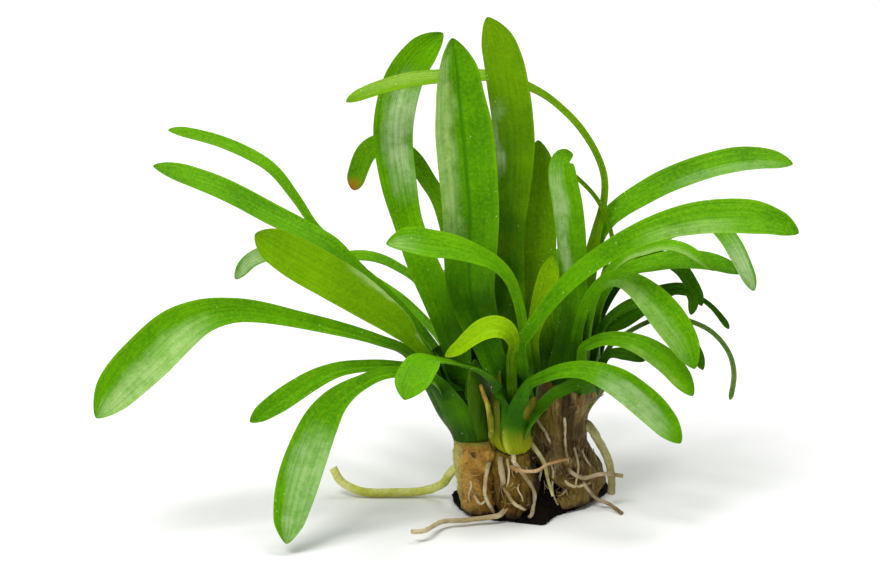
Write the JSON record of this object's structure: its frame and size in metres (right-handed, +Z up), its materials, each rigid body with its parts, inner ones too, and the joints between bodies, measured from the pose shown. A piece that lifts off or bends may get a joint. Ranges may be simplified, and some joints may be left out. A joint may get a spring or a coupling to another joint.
{
  "type": "dwarf sagittaria plant",
  "caption": "Rooted tuft of dwarf sagittaria: arching strap leaves from joined crowns, rootstocks, a runner, loose roots and a little wet soil that it stands on.",
  "frame": {"origin": "centre of the soil's flat underside, on the surface that the tuft stands on", "axes": "+Z up, +X along the row of crowns towards the fibrous brown rootstock, the picture looks along +Y"},
  "size_m": [0.1359, 0.0797, 0.0992],
  "materials": {
    "leaf": "satin",
    "sheath": "satin",
    "rootstock": "matte",
    "root": "matte",
    "runner": "satin",
    "soil": "matte"
  },
  "bodies": {
    "root": {"crown_left": "sheath", "crown_middle": "sheath", "leaf_back_far_left": "leaf", "leaf_back_far_right": "leaf", "leaf_back_left": "leaf", "leaf_back_low_right": "leaf", "leaf_back_middle": "leaf", "leaf_back_right": "leaf", "leaf_back_tall": "leaf", "leaf_back_tall_right": "leaf", "leaf_left_arching": "leaf", "leaf_left_behind": "leaf", "leaf_left_behind_low": "leaf", "leaf_left_broad": "leaf", "leaf_left_drooping": "leaf", "leaf_left_grey_tip": "leaf", "leaf_left_long": "leaf", "leaf_left_low": "leaf", "leaf_left_orange_tip": "leaf", "leaf_left_thin": "leaf", "leaf_left_upright": "leaf", "leaf_middle_arching": "leaf", "leaf_middle_dark": "leaf", "leaf_middle_folded": "leaf", "leaf_middle_lime": "leaf", "leaf_middle_long_right": "leaf", "leaf_middle_low_right": "leaf", "leaf_middle_short": "leaf", "leaf_middle_tallest": "leaf", "leaf_middle_toward": "leaf", "leaf_right_behind_drooping": "leaf", "leaf_right_dark_broad": "leaf", "leaf_right_dark_tip": "leaf", "leaf_right_drooping": "leaf", "leaf_right_dry_stalk": "leaf", "leaf_right_hanging_tip": "leaf", "leaf_right_high": "leaf", "leaf_right_level_back": "leaf", "leaf_right_level_front": "leaf", "leaf_right_low": "leaf", "leaf_right_low_dark": "leaf", "leaf_right_olive": "leaf", "leaf_right_spoon_tip": "leaf", "leaf_right_sweeping": "leaf", "leaf_right_thin_stalk": "leaf", "leaf_right_upright": "leaf", "root_left_front": "root", "root_left_ground": "root", "root_middle_front": "root", "root_orange": "root", "root_pale_short": "root", "root_right_front": "root", "root_right_level": "root", "root_right_loop": "root", "root_right_low": "root", "rootstock_left": "rootstock", "rootstock_middle": "rootstock", "rootstock_right": "rootstock", "runner": "runner", "soil_clod": "soil"}
  },
  "joints": []
}
